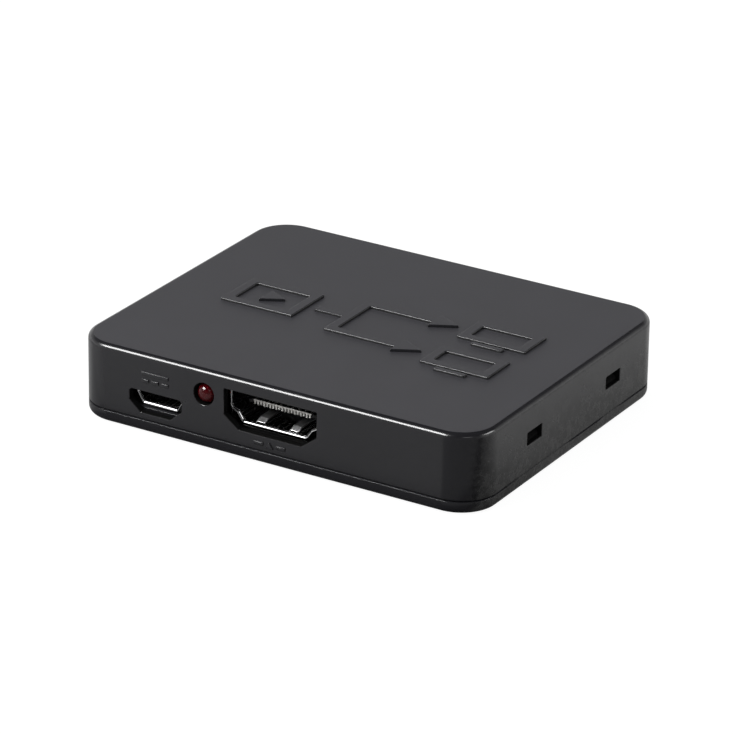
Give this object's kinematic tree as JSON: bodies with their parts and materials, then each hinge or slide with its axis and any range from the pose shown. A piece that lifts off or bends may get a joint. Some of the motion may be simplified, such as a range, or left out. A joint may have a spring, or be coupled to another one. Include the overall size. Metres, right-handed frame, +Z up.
{
  "type": "hdmi splitter",
  "caption": "Flat rounded box with a video input, power socket and lamp at the front and video outputs at the back, which copies one picture signal to several screens.",
  "frame": {"origin": "middle of the underside, on the surface that the box stands on", "axes": "+X along the width to the right as seen from the input side, +Y from the input side to the output side, +Z up"},
  "size_m": [0.066, 0.054, 0.0124],
  "materials": {
    "case_black": "semi-gloss moulded black plastic",
    "socket_steel": "nickel-plated sheet steel",
    "spring_steel": "nickel-plated spring sheet",
    "insulator_black": "matt moulded black plastic",
    "contact_plating": "pale plated contact strip",
    "lamp_red": "clear red resin",
    "board_black": "black solder mask on glass laminate",
    "tinned_metal": "bright tin",
    "chip_black": "matt moulding compound",
    "ceramic_tan": "sintered ceramic",
    "ferrite_grey": "matt ferrite",
    "can_aluminium": "bright drawn aluminium"
  },
  "bodies": {
    "case": {"top_cover": "case_black", "bottom_cover": "case_black", "circuit_board": "board_black", "input_shell": "socket_steel", "input_insulator": "insulator_black", "input_contacts": "contact_plating", "output_1_shell": "socket_steel", "output_1_insulator": "insulator_black", "output_1_contacts": "contact_plating", "output_2_shell": "socket_steel", "output_2_insulator": "insulator_black", "output_2_contacts": "contact_plating", "power_shell": "socket_steel", "power_insulator": "insulator_black", "power_contacts": "contact_plating", "lamp_lens": "lamp_red", "lamp_leads": "tinned_metal", "splitter_chip": "chip_black", "splitter_chip_leads": "tinned_metal", "memory_chip": "chip_black", "memory_chip_leads": "tinned_metal", "regulator": "chip_black", "regulator_leads": "tinned_metal", "crystal": "socket_steel", "capacitor_base": "insulator_black", "capacitor_can": "can_aluminium", "power_inductor": "ferrite_grey", "surge_protectors": "chip_black", "chip_capacitors": "ceramic_tan", "chip_resistors": "insulator_black", "chip_ends": "tinned_metal"},
    "hook_front_right": {"hook_front_right": "insulator_black"},
    "hook_rear_right": {"hook_rear_right": "insulator_black"},
    "hook_front_left": {"hook_front_left": "insulator_black"},
    "hook_rear_left": {"hook_rear_left": "insulator_black"},
    "input_upper_springs": {"input_upper_springs": "spring_steel"},
    "input_lower_springs": {"input_lower_springs": "spring_steel"},
    "output_1_upper_springs": {"output_1_upper_springs": "spring_steel"},
    "output_1_lower_springs": {"output_1_lower_springs": "spring_steel"},
    "output_2_upper_springs": {"output_2_upper_springs": "spring_steel"},
    "output_2_lower_springs": {"output_2_lower_springs": "spring_steel"}
  },
  "joints": [
    {"name": "hook_front_right_flex", "type": "hinge", "parent": "case", "child": "hook_front_right", "pos_m": [0.03115, -0.0108, 0.0015], "axis": [0, -1, 0], "range_deg": [0, 11], "stiffness_Nm_per_rad": 0.25},
    {"name": "hook_rear_right_flex", "type": "hinge", "parent": "case", "child": "hook_rear_right", "pos_m": [0.03115, 0.0118, 0.0015], "axis": [0, -1, 0], "range_deg": [0, 11], "stiffness_Nm_per_rad": 0.25},
    {"name": "hook_front_left_flex", "type": "hinge", "parent": "case", "child": "hook_front_left", "pos_m": [-0.03115, -0.0108, 0.0015], "axis": [0, 1, 0], "range_deg": [0, 11], "stiffness_Nm_per_rad": 0.25},
    {"name": "hook_rear_left_flex", "type": "hinge", "parent": "case", "child": "hook_rear_left", "pos_m": [-0.03115, 0.0118, 0.0015], "axis": [0, 1, 0], "range_deg": [0, 11], "stiffness_Nm_per_rad": 0.25},
    {"name": "input_upper_flex", "type": "hinge", "parent": "case", "child": "input_upper_springs", "pos_m": [0, -0.0246, 0.00998], "axis": [1, 0, 0], "range_deg": [0, 7], "stiffness_Nm_per_rad": 0.1},
    {"name": "input_lower_flex", "type": "hinge", "parent": "case", "child": "input_lower_springs", "pos_m": [0, -0.0246, 0.00513], "axis": [-1, 0, 0], "range_deg": [0, 7], "stiffness_Nm_per_rad": 0.1},
    {"name": "output_1_upper_flex", "type": "hinge", "parent": "case", "child": "output_1_upper_springs", "pos_m": [0.015, 0.0246, 0.00998], "axis": [-1, 0, 0], "range_deg": [0, 7], "stiffness_Nm_per_rad": 0.1},
    {"name": "output_1_lower_flex", "type": "hinge", "parent": "case", "child": "output_1_lower_springs", "pos_m": [0.015, 0.0246, 0.00513], "axis": [1, 0, 0], "range_deg": [0, 7], "stiffness_Nm_per_rad": 0.1},
    {"name": "output_2_upper_flex", "type": "hinge", "parent": "case", "child": "output_2_upper_springs", "pos_m": [-0.015, 0.0246, 0.00998], "axis": [-1, 0, 0], "range_deg": [0, 7], "stiffness_Nm_per_rad": 0.1},
    {"name": "output_2_lower_flex", "type": "hinge", "parent": "case", "child": "output_2_lower_springs", "pos_m": [-0.015, 0.0246, 0.00513], "axis": [1, 0, 0], "range_deg": [0, 7], "stiffness_Nm_per_rad": 0.1}
  ]
}
